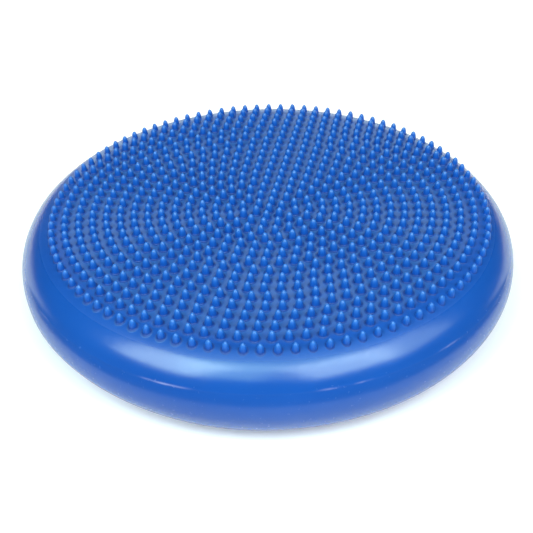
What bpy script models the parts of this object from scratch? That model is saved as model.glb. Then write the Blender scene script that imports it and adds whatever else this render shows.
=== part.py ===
"""Air-filled wobble cushion for balance training.

The cushion is a soft PVC bladder: a flat underside that holds a needle valve, a rounded
wall with a parting seam, and a dished top face with massage spikes. The wall is split
where it bends when the cushion tilts (lower and middle wall) and sinks (upper wall).
Metres, +Z up. The origin is the middle of the face that rests on the floor.
"""

import math

import bmesh
import bpy
from mathutils import Matrix, Vector

# Overall shape
CUSHION_RADIUS = 0.165
WIDEST_HEIGHT = 0.032      # height of the widest circle
CREST_RADIUS = 0.137       # the top face turns into the wall here
CREST_HEIGHT = 0.0608
DISH_DEPTH = 0.0034        # how far the middle of the top face lies below its crest
FLAT_RADIUS = 0.1324       # the underside is flat out to here
WALL = 0.003               # thickness of the PVC
JOIN_GAP = 0.0003          # clearance between neighbouring zones

# Heights at which the zones of the bladder meet
PANEL_EDGE_HEIGHT = 0.00095
LOWER_WALL_TOP = 0.0215
SEAM_HEIGHT = 0.0444
SEAM_HALF_HEIGHT = 0.0015
SEAM_BEAD = 0.0003         # how far the seam stands proud of the wall
FACE_EDGE_HEIGHT = 0.0574

# Massage spikes
RING_PITCH = 0.00902
RING_COUNT = 16
SPIKES_PER_RING_STEP = 6
COUNT_CHANGES = {4: 1, 8: -1, 9: -1, 10: -3, 12: -2, 16: -1}    # rings off the rule of six
OUTER_RING_RADIUS = 0.1438
FIRST_SPIKE_ANGLE = math.radians(77.6)
FIELD_OFFSET = (0.0024, -0.0010)        # the spike field sits a little off centre
SPIKE_HEIGHT = 0.0062
OUTER_SPIKE_HEIGHT = 0.0058
SPIKE_RADIUS = 0.0024
SPIKE_ROOT = 0.0010        # how deep a spike is rooted in the face
SPIKE_SIDES = 3

# Valve in the underside
VALVE_PLACE = (0.0, 0.108)
VALVE_RECESS = 0.0010      # the valve's face lies this far above the floor
VALVE_BODY_RADIUS = 0.0062
VALVE_BODY_LENGTH = 0.0120
VALVE_FLANGE_RADIUS = 0.0095
VALVE_FLANGE_THICKNESS = 0.0016
VALVE_MOUTH_RADIUS = 0.0016
VALVE_LIP = 0.0015
VALVE_BORE_RADIUS = 0.0035
VALVE_CORE_LENGTH = 0.0085
NEEDLE_HOLE_RADIUS = 0.0006
NEEDLE_HOLE_DEPTH = 0.0050
HOLE_CUTTER_LENGTH = 0.0120

# Where the pitch and roll axes cross the cushion's axis
TILT_CENTRE = (0.0, 0.0, 0.0215)

TURN_STEPS = 64
VALVE_STEPS = 24
SMALL_ANGLE = 0.01         # for measuring how fast the wall's arc runs
ARC_STEP = math.radians(13)     # longest stretch of the wall's arc with straight sides
FACE_STEPS = 6
MERGE = 0.00005

BLUE_TOP = (0.010, 0.125, 0.510, 1.0)
BLUE_WALL = (0.010, 0.136, 0.540, 1.0)
BLUE_BASE = (0.010, 0.085, 0.380, 1.0)
VALVE_BLUE = (0.008, 0.060, 0.270, 1.0)
VALVE_GREY = (0.180, 0.185, 0.190, 1.0)
FACE_ROUGHNESS = 0.34
WALL_ROUGHNESS = 0.36
SEAM_ROUGHNESS = 0.40
BASE_ROUGHNESS = 0.45
VALVE_ROUGHNESS = 0.50


def clear_scene():
    """Remove every object that the file opened with."""
    for old in list(bpy.data.objects):
        bpy.data.objects.remove(old, do_unlink=True)


def new_collection(name):
    """Make a collection under the scene."""
    collection = bpy.data.collections.new(name)
    bpy.context.scene.collection.children.link(collection)
    return collection


def new_material(name, colour, roughness):
    """Make a Principled BSDF material."""
    material = bpy.data.materials.new(name)
    material.use_nodes = True
    shader = material.node_tree.nodes["Principled BSDF"]
    shader.inputs["Base Color"].default_value = colour
    shader.inputs["Roughness"].default_value = roughness
    shader.inputs["Metallic"].default_value = 0.0
    material.diffuse_color = colour
    return material


def add_pivot(name, collection):
    """Add an empty on the axis that a moving zone turns about."""
    pivot = bpy.data.objects.new(name, None)
    pivot.location = TILT_CENTRE
    collection.objects.link(pivot)
    return pivot


def hang_on(piece, pivot):
    """Parent a piece to a pivot without moving it."""
    piece.parent = pivot
    piece.matrix_parent_inverse = Matrix.Translation(TILT_CENTRE).inverted()


def turned(name, points, steps, collection, material):
    """Turn a closed profile of (radius, height) points about +Z."""
    mesh = bpy.data.meshes.new(name)
    edges = [(i, i + 1) for i in range(len(points) - 1)]
    if points[0][0] > 0.0 or points[-1][0] > 0.0:
        edges.append((len(points) - 1, 0))
    mesh.from_pydata([(radius, 0.0, height) for radius, height in points], edges, [])
    piece = bpy.data.objects.new(name, mesh)
    collection.objects.link(piece)
    screw = piece.modifiers.new("Turn", "SCREW")
    screw.steps = steps
    screw.render_steps = steps
    screw.use_merge_vertices = True
    screw.merge_threshold = MERGE
    screw.use_smooth_shade = True
    mesh.materials.append(material)
    return piece


def combine(piece, tool, operation):
    """Cut or join a tool object into a piece with a Boolean modifier."""
    tool.hide_render = True
    tool.display_type = "WIRE"
    boolean = piece.modifiers.new(operation.title(), "BOOLEAN")
    boolean.operation = operation
    boolean.object = tool


def wall_point(angle, inset=0.0):
    """Point on the wall: 0 is its foot, a right angle the widest circle, pi the crest."""
    if angle <= math.pi / 2:
        radius = FLAT_RADIUS + (CUSHION_RADIUS - FLAT_RADIUS - inset) * math.sin(angle)
        height = WIDEST_HEIGHT - (WIDEST_HEIGHT - inset) * math.cos(angle)
    else:
        radius = CREST_RADIUS + (CUSHION_RADIUS - CREST_RADIUS - inset) * math.sin(angle)
        rise = CREST_HEIGHT - WIDEST_HEIGHT - inset
        height = WIDEST_HEIGHT - rise * math.cos(angle)
    return radius, height


def wall_angle(height):
    """The angle at which the wall's outside reaches a height."""
    if height <= WIDEST_HEIGHT:
        return math.acos((WIDEST_HEIGHT - height) / WIDEST_HEIGHT)
    return math.acos((WIDEST_HEIGHT - height) / (CREST_HEIGHT - WIDEST_HEIGHT))


def edge_angle(height, side):
    """The angle of a zone's edge: half a gap above (side 1) or below (-1) a height."""
    angle = wall_angle(height)
    here = Vector(wall_point(angle))
    there = Vector(wall_point(angle + SMALL_ANGLE))
    return angle + side * SMALL_ANGLE * JOIN_GAP / 2 / (there - here).length


def arc_angles(low, high):
    """Angles from low to high, both included, and the widest circle between them."""
    if low < math.pi / 2 < high:
        return arc_angles(low, math.pi / 2)[:-1] + arc_angles(math.pi / 2, high)
    return span(low, high, math.ceil((high - low) / ARC_STEP))


def face_height(radius):
    """Height of the dished top face inside its crest."""
    slope = 1.0 - min(radius / CREST_RADIUS, 1.0) ** 2
    return CREST_HEIGHT - DISH_DEPTH * slope ** 2


def skin_height(radius):
    """Height of the skin under a spike, also past the crest."""
    if radius <= CREST_RADIUS:
        return face_height(radius)
    reach = (radius - CREST_RADIUS) / (CUSHION_RADIUS - CREST_RADIUS)
    return WIDEST_HEIGHT + (CREST_HEIGHT - WIDEST_HEIGHT) * math.sqrt(1.0 - reach ** 2)


def span(start, end, steps):
    """Evenly spaced values from start to end, both included."""
    return [start + (end - start) * i / steps for i in range(steps + 1)]


def build_underside_panel(collection, cutters):
    """The flat panel that rests on the floor, with a hole for the valve."""
    angles = arc_angles(0.0, edge_angle(PANEL_EDGE_HEIGHT, -1))
    inner = [wall_point(angle, WALL) for angle in angles]
    outer = [wall_point(angle) for angle in reversed(angles)]
    profile = [(0.0, WALL)] + inner + outer + [(0.0, 0.0)]
    material = new_material("underside_blue", BLUE_BASE, BASE_ROUGHNESS)
    panel = turned("underside_panel", profile, TURN_STEPS, collection, material)
    hole_mesh = bpy.data.meshes.new("valve_hole_cutter")
    shape = bmesh.new()
    bmesh.ops.create_cone(
        shape, cap_ends=True, segments=VALVE_STEPS, depth=HOLE_CUTTER_LENGTH,
        radius1=VALVE_BODY_RADIUS + JOIN_GAP, radius2=VALVE_BODY_RADIUS + JOIN_GAP)
    shape.to_mesh(hole_mesh)
    shape.free()
    hole = bpy.data.objects.new("valve_hole_cutter", hole_mesh)
    hole.location = (*VALVE_PLACE, 0.0)
    cutters.objects.link(hole)
    combine(panel, hole, "DIFFERENCE")
    return panel


def build_wall(name, bottom, top, collection):
    """A ring of the wall between two heights."""
    angles = arc_angles(edge_angle(bottom, 1), edge_angle(top, -1))
    outer = [wall_point(angle) for angle in reversed(angles)]
    inner = [wall_point(angle, WALL) for angle in angles]
    material = new_material(name + "_blue", BLUE_WALL, WALL_ROUGHNESS)
    return turned(name, outer + inner, TURN_STEPS, collection, material)


def build_parting_seam(collection):
    """The slightly raised line round the wall where the mould halves met."""
    top = edge_angle(SEAM_HEIGHT + SEAM_HALF_HEIGHT, -1)
    middle = wall_angle(SEAM_HEIGHT)
    bottom = edge_angle(SEAM_HEIGHT - SEAM_HALF_HEIGHT, 1)
    profile = [
        wall_point(top), wall_point(middle, -SEAM_BEAD), wall_point(bottom),
        wall_point(bottom, WALL), wall_point(top, WALL)]
    material = new_material("parting_seam_blue", BLUE_WALL, SEAM_ROUGHNESS)
    return turned("parting_seam", profile, TURN_STEPS, collection, material)


def spike_places():
    """The spike in the middle, then the rings outwards, as (x, y, height of the spike)."""
    places = [(*FIELD_OFFSET, SPIKE_HEIGHT)]
    for ring in range(1, RING_COUNT + 1):
        outermost = ring == RING_COUNT
        radius = OUTER_RING_RADIUS if outermost else ring * RING_PITCH
        height = OUTER_SPIKE_HEIGHT if outermost else SPIKE_HEIGHT
        count = SPIKES_PER_RING_STEP * ring + COUNT_CHANGES.get(ring, 0)
        for i in range(count):
            angle = FIRST_SPIKE_ANGLE + 2 * math.pi * i / count
            x = FIELD_OFFSET[0] + radius * math.cos(angle)
            y = FIELD_OFFSET[1] + radius * math.sin(angle)
            places.append((x, y, height))
    return places


def build_spikes(cutters):
    """All the spikes, each a small cone rooted in the face."""
    shape = bmesh.new()
    for x, y, height in spike_places():
        depth = height + SPIKE_ROOT
        middle = skin_height(math.hypot(x, y)) + height - depth / 2
        bmesh.ops.create_cone(
            shape, cap_ends=True, segments=SPIKE_SIDES, depth=depth,
            radius1=SPIKE_RADIUS, radius2=0.0,
            matrix=Matrix.Translation((x, y, middle)))
    bmesh.ops.remove_doubles(shape, verts=shape.verts, dist=MERGE)
    mesh = bpy.data.meshes.new("spike_field")
    shape.to_mesh(mesh)
    shape.free()
    spikes = bpy.data.objects.new("spike_field", mesh)
    cutters.objects.link(spikes)
    return spikes


def build_spiked_face(collection, cutters):
    """The dished top face with its massage spikes."""
    radii = span(0.0, CREST_RADIUS, FACE_STEPS)
    rim = arc_angles(edge_angle(FACE_EDGE_HEIGHT, 1), math.pi)
    outer = [(radius, face_height(radius)) for radius in radii[:-1]]
    outer += [wall_point(angle) for angle in reversed(rim)]
    inner = [wall_point(angle, WALL) for angle in rim]
    inner += [(radius, face_height(radius) - WALL) for radius in reversed(radii[:-1])]
    material = new_material("face_blue", BLUE_TOP, FACE_ROUGHNESS)
    face = turned("spiked_face", outer + inner, TURN_STEPS, collection, material)
    combine(face, build_spikes(cutters), "UNION")
    return face


def build_valve(collection):
    """The needle valve: a housing welded inside the panel and its sealing core."""
    foot = VALVE_RECESS
    flange = WALL + JOIN_GAP
    lip = foot + VALVE_LIP
    top = foot + VALVE_BODY_LENGTH
    housing_profile = [
        (VALVE_BORE_RADIUS, top), (VALVE_BODY_RADIUS, top),
        (VALVE_BODY_RADIUS, flange + VALVE_FLANGE_THICKNESS),
        (VALVE_FLANGE_RADIUS, flange + VALVE_FLANGE_THICKNESS),
        (VALVE_FLANGE_RADIUS, flange), (VALVE_BODY_RADIUS, flange),
        (VALVE_BODY_RADIUS, foot), (VALVE_MOUTH_RADIUS, foot),
        (VALVE_MOUTH_RADIUS, lip), (VALVE_BORE_RADIUS, lip)]
    material = new_material("valve_blue", VALVE_BLUE, VALVE_ROUGHNESS)
    housing = turned("valve_housing", housing_profile, VALVE_STEPS, collection, material)
    housing.location = (*VALVE_PLACE, 0.0)
    core_foot = lip + JOIN_GAP
    core_radius = VALVE_BORE_RADIUS - JOIN_GAP
    core_profile = [
        (0.0, core_foot + VALVE_CORE_LENGTH), (core_radius, core_foot + VALVE_CORE_LENGTH),
        (core_radius, core_foot), (NEEDLE_HOLE_RADIUS, core_foot),
        (NEEDLE_HOLE_RADIUS, core_foot + NEEDLE_HOLE_DEPTH),
        (0.0, core_foot + NEEDLE_HOLE_DEPTH)]
    material = new_material("valve_core_grey", VALVE_GREY, VALVE_ROUGHNESS)
    core = turned("valve_core", core_profile, VALVE_STEPS, collection, material)
    core.location = (*VALVE_PLACE, 0.0)


def main():
    """Build the cushion."""
    clear_scene()
    collection = new_collection("wobble_cushion")
    cutters = new_collection("cutters")
    pitch_axis = add_pivot("pitch_axis", collection)
    roll_axis = add_pivot("roll_axis", collection)
    roll_axis.location = (0.0, 0.0, 0.0)
    roll_axis.parent = pitch_axis
    seam_bottom = SEAM_HEIGHT - SEAM_HALF_HEIGHT
    seam_top = SEAM_HEIGHT + SEAM_HALF_HEIGHT
    build_underside_panel(collection, cutters)
    build_valve(collection)
    build_wall("lower_wall", PANEL_EDGE_HEIGHT, LOWER_WALL_TOP, collection)
    middle = build_wall("middle_wall", LOWER_WALL_TOP, seam_bottom, collection)
    upper = build_wall("upper_wall", seam_top, FACE_EDGE_HEIGHT, collection)
    hang_on(middle, pitch_axis)
    hang_on(build_parting_seam(collection), roll_axis)
    hang_on(upper, roll_axis)
    hang_on(build_spiked_face(collection, cutters), roll_axis)


main()
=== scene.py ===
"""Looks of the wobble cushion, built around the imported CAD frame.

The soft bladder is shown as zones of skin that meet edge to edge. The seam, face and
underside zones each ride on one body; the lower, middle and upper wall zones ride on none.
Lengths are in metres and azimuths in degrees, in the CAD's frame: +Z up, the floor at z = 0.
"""

import math
import random

import bpy
import numpy as np
from mathutils import Matrix, Vector, noise


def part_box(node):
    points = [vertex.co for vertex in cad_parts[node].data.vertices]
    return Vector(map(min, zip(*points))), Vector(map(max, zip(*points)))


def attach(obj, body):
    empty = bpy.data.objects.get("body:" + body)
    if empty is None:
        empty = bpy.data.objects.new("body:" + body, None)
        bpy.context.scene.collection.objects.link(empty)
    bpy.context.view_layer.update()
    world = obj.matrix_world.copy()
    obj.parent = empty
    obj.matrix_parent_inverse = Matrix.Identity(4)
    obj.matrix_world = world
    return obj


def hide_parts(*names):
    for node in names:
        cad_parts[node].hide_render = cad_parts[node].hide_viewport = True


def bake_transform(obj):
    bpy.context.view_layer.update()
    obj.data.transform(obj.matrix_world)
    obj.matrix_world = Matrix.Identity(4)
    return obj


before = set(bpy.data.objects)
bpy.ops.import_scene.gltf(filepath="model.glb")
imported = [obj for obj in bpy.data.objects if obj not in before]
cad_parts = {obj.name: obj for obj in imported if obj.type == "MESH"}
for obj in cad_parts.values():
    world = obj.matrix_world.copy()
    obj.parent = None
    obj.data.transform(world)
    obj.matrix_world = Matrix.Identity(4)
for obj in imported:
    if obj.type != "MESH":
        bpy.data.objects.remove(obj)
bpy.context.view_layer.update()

# Outline of the bladder, as the CAD's solids have it
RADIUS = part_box("middle_wall")[1].x
WIDEST_HEIGHT = 0.032
CREST_RADIUS = 0.137
CREST_HEIGHT = 0.0608
DISH_DEPTH = 0.0040
FLAT_RADIUS = 0.1324
WALL = 0.003

# Heights at which the zones meet, in the middle of the CAD's gaps
LOWER_EDGE = 0.00095
MIDDLE_EDGE = 0.0215
SEAM_LOW, SEAM_HEIGHT, SEAM_HIGH = 0.0429, 0.0444, 0.0459
UPPER_EDGE = 0.0574

# Size of the skin's faces
SEGMENTS = 384
ROW = 0.0010            # height of a row on the wall
EDGE_ROW = 0.0001       # the narrow last row at a zone's edge, which keeps the shading even
SEAM_ROWS = 16
FACE_ROWS = 70
PANEL_ROWS = 110
ON_AXIS = 1e-7          # a ring smaller than this is a single point
BELOW_CREST = 1e-9      # keeps the crest's height within the wall's range

# Unevenness of the soft skin
UNEVEN = 0.00022        # how far it wanders from a true circle
UNEVEN_SIZE = 0.045
UNEVEN_FADE = 0.05      # the wandering fades away inside this radius
# (distance outwards, azimuth, half width, height where it starts, height where it is full)
SWELLINGS = [
    (-0.0022, -143.0, 28.0, 0.027, 0.010),
    (0.0011, 150.0, 25.0, 0.010, 0.030),
    (0.0011, 88.0, 42.0, 0.034, 0.050),
    (0.0012, -22.0, 36.0, 0.001, 0.012)]

# Parting line
SEAM_BEAD = 0.00006
SEAM_BEAD_HALF = 0.00050
SCUFF_HALF = 0.00045
SCUFF_BASE = 0.006      # how pale the line is where it isn't rubbed
SCUFF_GRAIN = 900.0
SCUFF_EVEN, SCUFF_RAGGED = 0.65, 0.7
# Where it is rubbed pale: (azimuth, half length, strength)
SCUFFS = [
    (-114.5, 1.4, 0.3), (-111.0, 2.2, 0.6), (-107.5, 1.6, 0.35), (-79.0, 1.5, 0.4),
    (-72.0, 1.3, 0.35), (-51.0, 2.0, 0.45), (-146.0, 1.5, 0.3), (-24.0, 1.4, 0.3),
    (37.0, 1.8, 0.4), (92.0, 1.5, 0.3), (148.0, 2.1, 0.4)]

# Massage spikes
RING_PITCH = 0.00902
RING_COUNT = 16
SPIKES_PER_RING_STEP = 6
COUNT_CHANGES = {4: 1, 8: -1, 9: -1, 10: -3, 12: -2, 16: -1}
OUTER_RING_RADIUS = 0.1438
OUTER_RING_MARGIN = 0.001
FIRST_SPIKE_ANGLE = math.radians(77.6)
FIELD_OFFSET = (0.0024, -0.0010)
SPIKE_HEIGHT = 0.0062
OUTER_SPIKE_SCALE = 0.91
MIDDLE_SPIKE_GAIN = 0.09    # how much larger the spikes are in the middle
SPIKE_SIZE_SPREAD = 0.010
SPIKE_TILT_SPREAD = 0.008
SPIKE_SEED = 5
SPIKE_SIDES = 14
SPIKE_LEAN = 0.15           # share of the skin's slope that a spike leans by
SPIKE_DRAPE = 0.00035       # the spike's foot follows the skin up to this height
# (height, radius) in millimetres, from the foot to just under the tip
SPIKE_PROFILE = [
    (-0.5, 4.30), (-0.03, 4.15), (0.02, 3.60), (0.05, 3.05), (0.13, 2.68), (0.6, 2.48),
    (1.6, 2.33), (3.0, 2.14), (4.0, 1.90), (4.7, 1.62), (5.25, 1.30), (5.65, 0.97),
    (5.95, 0.64), (6.12, 0.32)]
SLOPE_STEP = 0.0005         # half the stretch over which a slope is measured

# Underside, with low bumps under it
PANEL_WALL = 0.0025
PANEL_RISE = 0.0015
PANEL_RISE_START, PANEL_RISE_END = 0.1300, 0.1398
BUMP_PITCH = 0.0158
BUMP_RINGS = 9
BUMPS_PER_RING_STEP = 6
BUMP_RING_TWIST = 0.3
BUMP_RADIUS = 0.0046
BUMP_ROOT, BUMP_ROOT_FLARE = 0.0010, 1.08   # how deep a bump starts in the skin, and how wide
BUMP_FOOT_FLARE = 1.03
BUMP_STEPS = 7
BUMP_ROUNDNESS = 0.9
BUMP_SIDES = 20
VALVE_PLACE = (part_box("valve_housing")[0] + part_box("valve_housing")[1]) / 2
VALVE_PATCH = 0.0120
VALVE_HOLE = 0.0065
VALVE_HOLE_SIDES = 64
CUTTER_LENGTH = 0.04

# Angles in degrees past which an edge is shaded sharp
SKIN_SHARP = 50.0
STUD_SHARP = 75.0

# Colours
BLUE = (0.005, 0.062, 0.318, 1.0)
BLUE_DEEP = (0.004, 0.054, 0.288, 1.0)
# Grey sheen painted into the field between the spikes, also at the very foot of each spike
SHEEN_GREY_BLUE = (0.026, 0.090, 0.310, 1.0)
# Painted shade for a spike's foot, then painted highlight for its upper body and tip
SPIKE_FOOT_SHADE = (0.003, 0.034, 0.220, 1.0)
SPIKE_BODY = (0.004, 0.062, 0.360, 1.0)
SPIKE_UPPER_HIGHLIGHT = (0.006, 0.082, 0.415, 1.0)
SPIKE_TIP_HIGHLIGHT = (0.022, 0.118, 0.450, 1.0)
# Colour of a spike along its height, from 0 at the skin to 1 at the tip: painted shade at the
# foot, painted highlight near the tip
SPIKE_SHADE_AND_HIGHLIGHT = [
    (0.0, SHEEN_GREY_BLUE), (0.006, SPIKE_FOOT_SHADE), (0.05, SPIKE_FOOT_SHADE), (0.20, SPIKE_BODY),
    (0.48, SPIKE_UPPER_HIGHLIGHT), (0.80, SPIKE_TIP_HIGHLIGHT)]
SCUFF = (0.42, 0.36, 0.62, 1.0)
VALVE_BLUE, VALVE_BLUE_DEEP = (0.006, 0.055, 0.26, 1.0), (0.004, 0.04, 0.2, 1.0)
VALVE_GREY, VALVE_GREY_DEEP = (0.2, 0.205, 0.21, 1.0), (0.16, 0.165, 0.17, 1.0)
WHITE = (1.0, 1.0, 1.0, 1.0)

# Surface of the PVC: each noise as (scale, detail)
CLOUD_NOISE = (14.0, 3.0)
FINE_NOISE = (420.0, 3.0)
SKIN_NOISE = (1500.0, 2.0)
NOISE_LOW, NOISE_HIGH = 0.3, 0.7            # the range that a noise mostly keeps to
ROUGH_BELOW, ROUGH_ABOVE = 0.025, 0.035
SKIN_SHARE = 0.5
RELIEF_STRENGTH, RELIEF_DEPTH = 0.35, 0.00006
SPIKE_FOOT_ROUGH, SPIKE_FOOT_END = 0.60, 0.25
SHEEN_EDGE, SHEEN_FULL = 0.1395, 0.1290       # radii between which the painted sheen fades in
SHEEN_LEAST = 0.55


# Outline

def smoothstep(value, low, high):
    """0 at low, 1 at high and smooth in between, also where low is above high."""
    share = np.clip((value - low) / (high - low), 0.0, 1.0)
    return share * share * (3.0 - 2.0 * share)


def wall_point(angle, inset=0.0):
    """Radius and height on the wall: 0 is its foot, a right angle the widest, pi the crest."""
    if angle <= math.pi / 2:
        radius = FLAT_RADIUS + (RADIUS - FLAT_RADIUS - inset) * math.sin(angle)
        height = WIDEST_HEIGHT - (WIDEST_HEIGHT - inset) * math.cos(angle)
    else:
        radius = CREST_RADIUS + (RADIUS - CREST_RADIUS - inset) * math.sin(angle)
        height = WIDEST_HEIGHT - (CREST_HEIGHT - WIDEST_HEIGHT - inset) * math.cos(angle)
    return radius, height


def wall_angle(height):
    """The angle at which the wall's outside reaches a height."""
    rise = WIDEST_HEIGHT if height <= WIDEST_HEIGHT else CREST_HEIGHT - WIDEST_HEIGHT
    return math.acos((WIDEST_HEIGHT - height) / rise)


def face_height(radius):
    """Height of the dished top face inside its crest."""
    slope = 1.0 - min(radius / CREST_RADIUS, 1.0) ** 2
    return CREST_HEIGHT - DISH_DEPTH * slope ** 2


def skin_height(radius):
    """Height of the skin under a spike, also past the crest."""
    if radius <= CREST_RADIUS:
        return face_height(radius)
    reach = (radius - CREST_RADIUS) / (RADIUS - CREST_RADIUS)
    return WIDEST_HEIGHT + (CREST_HEIGHT - WIDEST_HEIGHT) * math.sqrt(1.0 - reach ** 2)


def panel_height(radius):
    """Height of the underside: raised on its bumps, and down to the wall at its edge."""
    foot = 0.0
    if radius > FLAT_RADIUS:
        reach = (radius - FLAT_RADIUS) / (RADIUS - FLAT_RADIUS)
        foot = WIDEST_HEIGHT * (1.0 - math.sqrt(1.0 - reach ** 2))
    share = 1.0 - float(smoothstep(radius, PANEL_RISE_START, PANEL_RISE_END))
    return foot + PANEL_RISE * share


def arc(low, high, inset=0.0):
    """Points of the wall from one height to another, with a narrow row at each end."""
    first, last = wall_angle(low), wall_angle(high)
    size = RADIUS - CREST_RADIUS
    count = max(2, round((last - first) * size / ROW))
    narrow = EDGE_ROW / size
    angles = [first, first + narrow]
    angles += [first + (last - first) * i / count for i in range(1, count)]
    angles += [last - narrow, last]
    return [wall_point(angle, inset) for angle in angles]


def swell(azimuth, centre, half):
    """1 at an azimuth and fading away from it, all in degrees."""
    away = (azimuth - centre + 180.0) % 360.0 - 180.0
    return math.exp(-(away / half) ** 2)


def unevenness(x, y, z):
    """How far the soft skin stands off its true shape at a point."""
    place = Vector((x, y, z)) / UNEVEN_SIZE
    wander = UNEVEN * noise.noise(place, noise_basis="PERLIN_ORIGINAL")
    azimuth = math.degrees(math.atan2(y, x))
    for size, centre, half, start, full in SWELLINGS:
        wander += size * float(smoothstep(z, start, full)) * swell(azimuth, centre, half)
    return wander


# Meshes

def add_mesh(name, mesh, sharp=SKIN_SHARP):
    """Put a mesh in the scene, shaded smooth but for its sharp edges."""
    mesh.validate()
    mesh.update()
    mesh.shade_smooth()
    mesh.set_sharp_from_angle(angle=math.radians(sharp))
    piece = bpy.data.objects.new(name, mesh)
    bpy.context.scene.collection.objects.link(piece)
    return piece


def face_out(piece):
    """Turn the faces of a closed mesh outwards."""
    mesh = piece.data
    volume = 0.0
    for face in mesh.polygons:
        corners = [mesh.vertices[i].co for i in face.vertices]
        for a, b in zip(corners[1:-1], corners[2:]):
            volume += corners[0].dot(a.cross(b))
    if volume < 0:
        mesh.flip_normals()
    return piece


def turned_shell(name, outer, inner, closed_middle=False):
    """A closed shell: an outer and an inner profile of (radius, height), turned about Z.

    With closed_middle the profiles start on the axis; otherwise both ends are closed.
    """
    rings, faces, points = [], [], []
    turn = [2 * math.pi * i / SEGMENTS for i in range(SEGMENTS)]
    for radius, height in outer + inner[::-1]:
        if radius < ON_AXIS:
            rings.append([len(points)] * SEGMENTS)
            points.append((0.0, 0.0, height))
            continue
        rings.append(list(range(len(points), len(points) + SEGMENTS)))
        for angle in turn:
            x, y = radius * math.cos(angle), radius * math.sin(angle)
            out = 1.0 + unevenness(x, y, height) / radius * min(1.0, radius / UNEVEN_FADE)
            points.append((x * out, y * out, height))
    loop = len(rings) - 1 if closed_middle else len(rings)
    for i in range(loop):
        here, there = rings[i], rings[(i + 1) % len(rings)]
        for k in range(SEGMENTS):
            n = (k + 1) % SEGMENTS
            unique = list(dict.fromkeys([here[k], here[n], there[n], there[k]]))
            if len(unique) > 2:
                faces.append(unique)
    mesh = bpy.data.meshes.new(name)
    mesh.from_pydata(points, [], faces)
    return face_out(add_mesh(name, mesh))


def build_studs(name, placed, profile, sides, drape=-1.0):
    """Many small turned studs as one mesh. Each is (place, direction, scale, twist).

    Rings no higher than drape are laid on the top face's skin. The share of its height that
    each point has goes into the mesh's "rise".
    """
    points, faces, heights = [], [], []
    top = profile[-1][0]
    for place, direction, scale, twist in placed:
        turn = Vector((0, 0, 1)).rotation_difference(direction).to_matrix()
        first = len(points)
        for height, radius in profile[:-1]:
            for k in range(sides):
                angle = twist + 2 * math.pi * k / sides
                local = Vector((radius * math.cos(angle), radius * math.sin(angle), height))
                point = place + turn @ (local * scale)
                if height <= drape:
                    point.z = skin_height(math.hypot(point.x, point.y)) + height
                points.append(point)
                heights.append(height)
        points.append(place + turn @ (Vector((0, 0, top)) * scale))
        heights.append(top)
        tip = len(points) - 1
        faces.append([first + k for k in reversed(range(sides))])
        for ring in range(len(profile) - 2):
            base = first + ring * sides
            for k in range(sides):
                n = (k + 1) % sides
                faces.append([base + k, base + n, base + sides + n, base + sides + k])
        base = first + (len(profile) - 2) * sides
        for k in range(sides):
            faces.append([base + k, base + (k + 1) % sides, tip])
    mesh = bpy.data.meshes.new(name)
    mesh.from_pydata(points, [], faces)
    rise = mesh.attributes.new("rise", "FLOAT", "POINT")
    rise.data.foreach_set("value", [max(0.0, height / top) for height in heights])
    return add_mesh(name, mesh, STUD_SHARP)


def cut_hole(piece, place, radius):
    """Cut an upright round hole through a piece."""
    bpy.ops.mesh.primitive_cylinder_add(vertices=VALVE_HOLE_SIDES, radius=radius,
                                        depth=CUTTER_LENGTH, location=(place.x, place.y, 0.0))
    cutter = bpy.context.object
    boolean = piece.modifiers.new("hole", "BOOLEAN")
    boolean.operation = "DIFFERENCE"
    boolean.object = cutter
    graph = bpy.context.evaluated_depsgraph_get()
    piece.data = bpy.data.meshes.new_from_object(piece.evaluated_get(graph))
    piece.modifiers.clear()
    bpy.data.objects.remove(cutter, do_unlink=True)


# The wall

def wall_piece(name, low, high):
    """A ring of the wall's skin between two heights."""
    return turned_shell(name, arc(low, high), arc(low, high, WALL))


def seam_profile():
    """The seam's zone: the wall with a low rounded bead along the middle."""
    points = []
    for i in range(SEAM_ROWS + 1):
        height = SEAM_LOW + (SEAM_HIGH - SEAM_LOW) * i / SEAM_ROWS
        bead = SEAM_BEAD * math.exp(-((height - SEAM_HEIGHT) / SEAM_BEAD_HALF) ** 2)
        points.append(wall_point(wall_angle(height), -bead))
    return points


def add_scuffs(piece):
    """Paint the rubbed stretches along the seam into a mesh attribute."""
    values = []
    for vertex in piece.data.vertices:
        x, y, z = vertex.co
        azimuth = math.degrees(math.atan2(y, x))
        near = math.exp(-((z - SEAM_HEIGHT) / SCUFF_HALF) ** 2)
        ragged = SCUFF_EVEN + SCUFF_RAGGED * noise.noise(Vector((x, y, z)) * SCUFF_GRAIN)
        amount = SCUFF_BASE
        for centre, half, strength in SCUFFS:
            amount += strength * ragged * swell(azimuth, centre, half)
        values.append(max(0.0, min(1.0, amount * near)))
    attribute = piece.data.attributes.new("scuff", "FLOAT", "POINT")
    attribute.data.foreach_set("value", values)


lower = wall_piece("lower_skin", LOWER_EDGE, MIDDLE_EDGE)
middle = wall_piece("middle_skin", MIDDLE_EDGE, SEAM_LOW)
upper = wall_piece("upper_skin", SEAM_HIGH, UPPER_EDGE)
seam = turned_shell("seam_skin", seam_profile(), arc(SEAM_LOW, SEAM_HIGH, WALL))
add_scuffs(seam)


# The top face

def face_piece():
    """The dished face and its crest, down to the upper wall."""
    radii = [CREST_RADIUS * i / FACE_ROWS for i in range(FACE_ROWS)]
    outer = [(radius, face_height(radius)) for radius in radii]
    inner = [(radius, height - WALL) for radius, height in outer]
    outer += arc(UPPER_EDGE, CREST_HEIGHT - BELOW_CREST)[::-1]
    inner += arc(UPPER_EDGE, CREST_HEIGHT - BELOW_CREST, WALL)[::-1]
    return turned_shell("face_skin", outer, inner, closed_middle=True)


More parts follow.
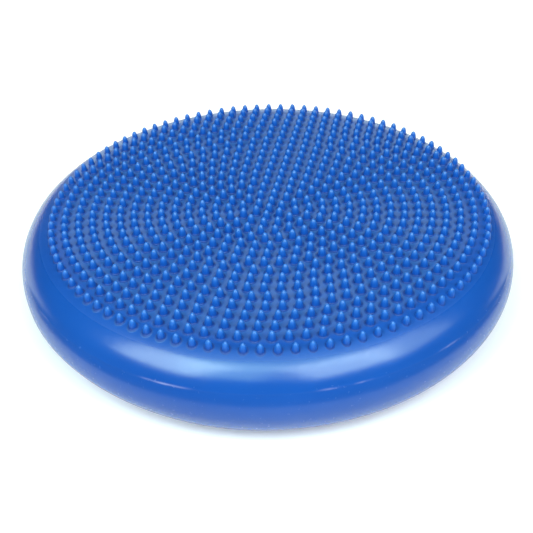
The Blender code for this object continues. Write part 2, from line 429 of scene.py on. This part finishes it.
def spike_places():
    """The spike in the middle, then the rings outwards, as (x, y) from the axis."""
    places = [FIELD_OFFSET]
    for ring in range(1, RING_COUNT + 1):
        count = SPIKES_PER_RING_STEP * ring + COUNT_CHANGES.get(ring, 0)
        radius = OUTER_RING_RADIUS if ring == RING_COUNT else ring * RING_PITCH
        for i in range(count):
            angle = FIRST_SPIKE_ANGLE + 2 * math.pi * i / count
            places.append((FIELD_OFFSET[0] + radius * math.cos(angle),
                           FIELD_OFFSET[1] + radius * math.sin(angle)))
    return places


def placed_spikes():
    """Place, direction, scale and twist of every spike."""
    draw = random.Random(SPIKE_SEED)
    outer_start = OUTER_RING_RADIUS - OUTER_RING_MARGIN
    placed = []
    for x, y in spike_places():
        radius = math.hypot(x, y)
        drop = skin_height(radius + SLOPE_STEP) - skin_height(max(0.0, radius - SLOPE_STEP))
        lean = -SPIKE_LEAN * math.atan(drop / (2 * SLOPE_STEP))
        lean_x = lean * x / max(radius, 1e-6) + draw.gauss(0.0, SPIKE_TILT_SPREAD)
        lean_y = lean * y / max(radius, 1e-6) + draw.gauss(0.0, SPIKE_TILT_SPREAD)
        direction = Vector((lean_x, lean_y, 1.0)).normalized()
        outer = math.hypot(x - FIELD_OFFSET[0], y - FIELD_OFFSET[1]) > outer_start
        scale = draw.gauss(1.0, SPIKE_SIZE_SPREAD) * (OUTER_SPIKE_SCALE if outer else 1.0)
        scale *= 1.0 + MIDDLE_SPIKE_GAIN * max(0.0, 1.0 - (radius / CREST_RADIUS) ** 2) ** 2
        twist = draw.uniform(0.0, 1.0)
        placed.append((Vector((x, y, skin_height(radius))), direction, scale, twist))
    return placed


face = face_piece()
spike_profile = [(height / 1000, radius / 1000) for height, radius in SPIKE_PROFILE]
spikes = build_studs("massage_spikes", placed_spikes(), spike_profile + [(SPIKE_HEIGHT, 0.0)],
                     SPIKE_SIDES, SPIKE_DRAPE)


# The underside

def panel_piece():
    """The underside, out to the foot of the wall."""
    edge = wall_point(wall_angle(LOWER_EDGE))[0]
    radii = [edge * i / PANEL_ROWS for i in range(PANEL_ROWS)]
    outer = [(radius, panel_height(radius)) for radius in radii + [edge - EDGE_ROW, edge]]
    inner = [(radius, max(panel_height(radius), PANEL_RISE) + PANEL_WALL) for radius in radii]
    inner.append(wall_point(wall_angle(LOWER_EDGE), WALL))
    return turned_shell("underside_skin", outer, inner, closed_middle=True)


def bump_places():
    """The bumps under the cushion, in rings, clear of the valve."""
    places = [(0.0, 0.0)]
    for ring in range(1, BUMP_RINGS + 1):
        count = BUMPS_PER_RING_STEP * ring
        radius = ring * BUMP_PITCH
        for i in range(count):
            angle = 2 * math.pi * i / count + BUMP_RING_TWIST * ring
            places.append((radius * math.cos(angle), radius * math.sin(angle)))
    clear = VALVE_PATCH + BUMP_RADIUS
    return [(x, y) for x, y in places
            if math.hypot(x - VALVE_PLACE.x, y - VALVE_PLACE.y) > clear]


def placed_bumps():
    """Place, direction, scale and twist of every bump, pointing down."""
    placed = []
    for x, y in bump_places():
        radius = math.hypot(x, y)
        out = Vector()
        if radius > 2 * SLOPE_STEP:
            climb = panel_height(radius + SLOPE_STEP) - panel_height(radius - SLOPE_STEP)
            out = Vector((x, y, 0.0)).normalized() * max(0.0, climb / (2 * SLOPE_STEP))
        direction = (out + Vector((0.0, 0.0, -1.0))).normalized()
        placed.append((Vector((x, y, panel_height(radius))), direction, 1.0, 0.0))
    return placed


def bump_profile():
    """(height, radius) from a bump's root in the skin to its tip."""
    points = [(-BUMP_ROOT, BUMP_RADIUS * BUMP_ROOT_FLARE), (0.0, BUMP_RADIUS * BUMP_FOOT_FLARE)]
    for i in range(1, BUMP_STEPS):
        angle = math.radians(90 * i / BUMP_STEPS)
        points.append((PANEL_RISE * math.sin(angle),
                       BUMP_RADIUS * math.cos(angle) ** BUMP_ROUNDNESS))
    return points + [(PANEL_RISE, 0.0)]


panel = panel_piece()
bumps = face_out(build_studs("floor_bumps", placed_bumps(), bump_profile(), BUMP_SIDES))
for vertex in bumps.data.vertices:
    vertex.co.z = max(vertex.co.z, 0.0)
cut_hole(panel, VALVE_PLACE, VALVE_HOLE)


# Materials

def new_material(name):
    """A material with nodes, and its Principled shader."""
    material = bpy.data.materials.new(name)
    material.use_nodes = True
    return material, material.node_tree.nodes["Principled BSDF"]


def feed(tree, socket, value):
    """Link another node's output into a socket, or set it to a plain value."""
    if isinstance(value, bpy.types.NodeSocket):
        tree.links.new(value, socket)
    else:
        socket.default_value = value


def add_node(tree, kind, **inputs):
    """Add a node and feed its inputs, whose names have _ for a space."""
    made = tree.nodes.new(kind)
    for key, value in inputs.items():
        feed(tree, made.inputs[key.replace("_", " ")], value)
    return made


def maths(tree, kind, operation, first, second=None):
    """A Math or Vector Math node."""
    made = tree.nodes.new(kind)
    made.operation = operation
    feed(tree, made.inputs[0], first)
    if second is not None:
        feed(tree, made.inputs[1], second)
    return made


def noise_value(tree, place, size):
    """A noise texture of (scale, detail)."""
    scale, detail = size
    return add_node(tree, "ShaderNodeTexNoise", Vector=place, Scale=scale,
                    Detail=detail).outputs["Fac"]


def map_range(tree, value, from_low, from_high, to_low, to_high):
    """Map a value from one range to another, and keep it within that."""
    made = add_node(tree, "ShaderNodeMapRange", Value=value, From_Min=from_low,
                    From_Max=from_high, To_Min=to_low, To_Max=to_high)
    return made.outputs["Result"]


def spread(tree, value, low, high):
    """Map a noise's value to low..high."""
    return map_range(tree, value, NOISE_LOW, NOISE_HIGH, low, high)


def mixed(tree, factor, first, second):
    """Mix two colours by a factor socket."""
    made = tree.nodes.new("ShaderNodeMix")
    made.data_type = "RGBA"
    feed(tree, made.inputs["Factor"], factor)
    feed(tree, made.inputs["A"], first)
    feed(tree, made.inputs["B"], second)
    return made.outputs["Result"]


def along(tree, value, stops):
    """A colour that follows a value through (position, colour) stops."""
    ramp = add_node(tree, "ShaderNodeValToRGB", Fac=value)
    elements = ramp.color_ramp.elements
    while len(elements) < len(stops):
        elements.new(0.5)
    for element, (position, colour) in zip(elements, stops):
        element.position = position
        element.color = colour
    return ramp.outputs["Color"]


def painted(tree, name):
    """A mesh attribute's value."""
    mark = tree.nodes.new("ShaderNodeAttribute")
    mark.attribute_name = name
    return mark.outputs["Fac"]


def painted_sheen(tree, place, fine):
    """How strong the painted grey sheen is between the spikes: patchy, and fading out at its
    edge.
    """
    flat = maths(tree, "ShaderNodeVectorMath", "MULTIPLY", place, (1.0, 1.0, 0.0))
    reach = maths(tree, "ShaderNodeVectorMath", "LENGTH", flat.outputs["Vector"])
    share = map_range(tree, reach.outputs["Value"], SHEEN_EDGE, SHEEN_FULL, 0.0, 1.0)
    patches = spread(tree, fine, SHEEN_LEAST, 1.0)
    return maths(tree, "ShaderNodeMath", "MULTIPLY", share, patches).outputs[0]


def pvc_material(name, rough, light=BLUE, deep=BLUE_DEEP, specular=0.5, extra=None):
    """Soft PVC: a cloudy tint, an even gloss with faint smears and a fine skin.

    The extra is "scuffed" for the seam's rubbed marks, "spiked" for spikes with painted shade
    at the foot and a painted highlight near the tip, and the third one for a painted grey sheen
    between the spikes.
    """
    material, shader = new_material(name)
    tree = material.node_tree
    place = tree.nodes.new("ShaderNodeTexCoord").outputs["Object"]
    cloud = noise_value(tree, place, CLOUD_NOISE)
    fine = noise_value(tree, place, FINE_NOISE)
    skin = noise_value(tree, place, SKIN_NOISE)
    colour = mixed(tree, spread(tree, cloud, 0.0, 1.0), deep, light)
    gloss = spread(tree, fine, rough - ROUGH_BELOW, rough + ROUGH_ABOVE)
    finer = maths(tree, "ShaderNodeMath", "MULTIPLY", skin, SKIN_SHARE)
    grain = maths(tree, "ShaderNodeMath", "ADD", fine, finer.outputs[0])
    relief = add_node(tree, "ShaderNodeBump", Strength=RELIEF_STRENGTH, Distance=RELIEF_DEPTH,
                      Height=grain.outputs[0])
    if extra == "scuffed":
        colour = mixed(tree, painted(tree, "scuff"), colour, SCUFF)
    elif extra == "spiked":
        rise = painted(tree, "rise")
        # painted shade at each spike's foot, painted highlight towards its tip
        colour = along(tree, rise, SPIKE_SHADE_AND_HIGHLIGHT)
        gloss = map_range(tree, rise, 0.0, SPIKE_FOOT_END, SPIKE_FOOT_ROUGH, rough)
    elif extra == "sheened":
        # painted grey sheen in the field between the spikes
        colour = mixed(tree, painted_sheen(tree, place, fine), colour, SHEEN_GREY_BLUE)
    feed(tree, shader.inputs["Base Color"], colour)
    feed(tree, shader.inputs["Roughness"], gloss)
    feed(tree, shader.inputs["Normal"], relief.outputs["Normal"])
    shader.inputs["IOR"].default_value = 1.5
    shader.inputs["Specular IOR Level"].default_value = specular
    return material


def dress(piece, material):
    """Give a piece its only material."""
    piece.data.materials.clear()
    piece.data.materials.append(material)


dress(lower, pvc_material("pvc_lower_wall", 0.24, specular=0.34))
dress(middle, pvc_material("pvc_middle_wall", 0.24, specular=0.36))
dress(seam, pvc_material("pvc_seam", 0.24, specular=0.55, extra="scuffed"))
dress(upper, pvc_material("pvc_upper_wall", 0.23, specular=0.66))
# the face carries a painted grey sheen between its spikes
dress(face, pvc_material("pvc_face", 0.34, specular=0.62, extra="sheened"))
# the spikes carry painted shade at the foot and a painted highlight near the tip
dress(spikes, pvc_material("pvc_spikes", 0.30, extra="spiked"))
dress(panel, pvc_material("pvc_underside", 0.36))
dress(bumps, pvc_material("pvc_bumps", 0.36))
dress(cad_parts["valve_housing"],
      pvc_material("valve_blue", 0.45, VALVE_BLUE, VALVE_BLUE_DEEP))
dress(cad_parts["valve_core"],
      pvc_material("valve_grey", 0.5, VALVE_GREY, VALVE_GREY_DEEP))


# Which body each piece follows


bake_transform(lower)
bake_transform(middle)
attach(seam, "belt")
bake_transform(upper)
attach(face, "top")
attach(spikes, "top")
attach(panel, "base")
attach(bumps, "base")

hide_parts("lower_wall")
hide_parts("middle_wall")
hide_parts("parting_seam")
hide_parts("upper_wall")
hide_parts("spiked_face")
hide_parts("underside_panel")


# Studio

FLOOR_SIDE = 8.0
FLOOR_DROP = 0.00005
FLOOR_COLOUR = (0.96, 0.80, 0.82, 1.0)      # warm, to cancel the lights' cool tint
FLOOR_ROUGH, FLOOR_SPECULAR, FLOOR_GLOW = 0.9, 0.1, 0.18
AIM_HEIGHT = 0.03
PLAIN = (1.0, 1.0, 1.0)
COOL = (0.76, 1.0, 0.95)
TEAL = (0.55, 1.0, 0.88)
# Soft boxes round the cushion: (name, azimuth, elevation, distance, width, height, power,
# colour)
LIGHTS = [
    ("key_left", -140, 45, 1.5, 0.9, 0.9, 17.5, COOL),
    ("front_fill", -113, 50, 1.5, 0.8, 0.9, 6.5, TEAL),
    ("mid_fill", -84, 50, 1.5, 0.8, 0.9, 2.0, COOL),
    ("key_right", -55, 45, 1.5, 0.9, 0.9, 15.5, COOL),
    ("side_right", -25, 40, 1.5, 0.8, 0.9, 6.0, COOL),
    ("top_fill", -90, 84, 1.5, 1.3, 1.0, 3.0, TEAL),
    ("front_high", -92, 66, 1.5, 1.5, 0.6, 4.5, TEAL),
    ("back_fill", 90, 30, 1.8, 1.6, 0.8, 2.8, PLAIN),
    ("back_low", 90, 12, 1.8, 1.8, 0.5, 8.0, COOL)]
SWEEP_WIDTH, SWEEP_HEIGHT, SWEEP_POWER = 2.6, 0.7, 7.0
SWEEP_SPREAD = math.radians(30)
SWEEP_PLACE = (0.0, 0.75, 0.8)
FLAG_PROFILE = [(0.24, 0.001), (1.10, 0.001), (1.12, 0.44)]
FLAG_FIRST, FLAG_LAST = -184.0, 4.0
FLAG_COLOUR = (0.02, 0.02, 0.025, 1.0)
BACKDROP_PROFILE = [(2.1, -0.01), (2.1, 3.0)]
BACKDROP_COLOUR, BACKDROP_GLOW = (0.8, 0.8, 0.8, 1.0), 0.85
CARD_STEPS = 60
WORLD_STRENGTH = 0.05
LENS, SENSOR_WIDTH, NEAREST = 59.468, 36.0, 0.01
CAMERA_PLACE = (-0.00040, -0.50083, 0.37993)
CAMERA_DOWN, CAMERA_ROLL = 0.6363, -0.0284  # radians


def set_glow(shader, strength):
    """Let a surface give off some white light of its own."""
    shader.inputs["Emission Color"].default_value = WHITE
    shader.inputs["Emission Strength"].default_value = strength


def add_floor():
    """A plain pale floor that the cushion rests on."""
    bpy.ops.mesh.primitive_plane_add(size=FLOOR_SIDE, location=(0.0, 0.0, -FLOOR_DROP))
    floor = bpy.context.object
    floor.name = "studio_floor"
    material, shader = new_material("studio_floor")
    shader.inputs["Base Color"].default_value = FLOOR_COLOUR
    shader.inputs["Roughness"].default_value = FLOOR_ROUGH
    shader.inputs["Specular IOR Level"].default_value = FLOOR_SPECULAR
    set_glow(shader, FLOOR_GLOW)
    floor.data.materials.append(material)


def area_light(name, width, height, power):
    """A soft box that shines straight down until it is turned."""
    light = bpy.data.lights.new(name, "AREA")
    light.shape = "RECTANGLE"
    light.size, light.size_y = width, height
    light.energy = power
    lamp = bpy.data.objects.new(name, light)
    bpy.context.scene.collection.objects.link(lamp)
    return lamp


def add_light(name, azimuth, elevation, distance, width, height, power, colour):
    """A soft box that faces the cushion from an azimuth and elevation in degrees."""
    lamp = area_light(name, width, height, power)
    lamp.data.color = colour
    a, e = math.radians(azimuth), math.radians(elevation)
    away = Vector((math.cos(a) * math.cos(e), math.sin(a) * math.cos(e), math.sin(e)))
    lamp.location = away * distance + Vector((0.0, 0.0, AIM_HEIGHT))
    lamp.rotation_mode = "QUATERNION"
    lamp.rotation_quaternion = away.to_track_quat("Z", "Y")


def add_sweep_light():
    """A light that falls straight down on the floor behind the cushion."""
    lamp = area_light("sweep", SWEEP_WIDTH, SWEEP_HEIGHT, SWEEP_POWER)
    lamp.data.spread = SWEEP_SPREAD
    lamp.location = SWEEP_PLACE


def bent_card(name, profile, first, last, colour, glow=0.0):
    """A card bent round the middle from one azimuth to another, in degrees.

    It casts no shadow and sends no light on to matt surfaces.
    """
    rows = len(profile)
    points, faces = [], []
    for i in range(CARD_STEPS + 1):
        angle = math.radians(first + (last - first) * i / CARD_STEPS)
        for radius, height in profile:
            points.append((radius * math.cos(angle), radius * math.sin(angle), height))
    for i in range(CARD_STEPS):
        for k in range(rows - 1):
            a = i * rows + k
            faces.append([a, a + rows, a + rows + 1, a + 1])
    mesh = bpy.data.meshes.new(name)
    mesh.from_pydata(points, [], faces)
    card = bpy.data.objects.new(name, mesh)
    bpy.context.scene.collection.objects.link(card)
    material, shader = new_material(name)
    shader.inputs["Base Color"].default_value = colour
    shader.inputs["Roughness"].default_value = 1.0
    set_glow(shader, glow)
    mesh.materials.append(material)
    card.visible_diffuse = False
    card.visible_shadow = False
    card.visible_transmission = False
    return card


def add_reflection_flag():
    """A dark card on the viewer's side that only glossy reflections see."""
    flag = bent_card("reflection_flag", FLAG_PROFILE, FLAG_FIRST, FLAG_LAST, FLAG_COLOUR)
    flag.visible_camera = False


def add_backdrop():
    """A pale wall all round that only cameras see, for the low views."""
    wall = bent_card("backdrop", BACKDROP_PROFILE, 0.0, 360.0, BACKDROP_COLOUR, BACKDROP_GLOW)
    wall.visible_glossy = False


def set_world():
    """An even white room."""
    world = bpy.data.worlds.new("studio")
    world.use_nodes = True
    background = world.node_tree.nodes["Background"]
    background.inputs["Color"].default_value = WHITE
    background.inputs["Strength"].default_value = WORLD_STRENGTH
    bpy.context.scene.world = world


def add_camera():
    """A camera at the photograph's viewing angle."""
    camera = bpy.data.cameras.new("camera")
    camera.lens = LENS
    camera.sensor_width = SENSOR_WIDTH
    camera.clip_start = NEAREST
    holder = bpy.data.objects.new("camera", camera)
    forward = Vector((0.0, math.cos(CAMERA_DOWN), -math.sin(CAMERA_DOWN)))
    right = Vector((1.0, 0.0, 0.0))
    up = right.cross(forward)
    x_axis = math.cos(CAMERA_ROLL) * right + math.sin(CAMERA_ROLL) * up
    y_axis = math.cos(CAMERA_ROLL) * up - math.sin(CAMERA_ROLL) * right
    turn = Matrix((x_axis, y_axis, -forward)).transposed().to_4x4()
    holder.matrix_world = Matrix.Translation(CAMERA_PLACE) @ turn
    bpy.context.scene.collection.objects.link(holder)
    bpy.context.scene.camera = holder


add_floor()
add_reflection_flag()
add_backdrop()
set_world()
for settings in LIGHTS:
    add_light(*settings)
add_sweep_light()
add_camera()
bpy.context.scene.view_settings.view_transform = "Standard"

bpy.context.view_layer.update()
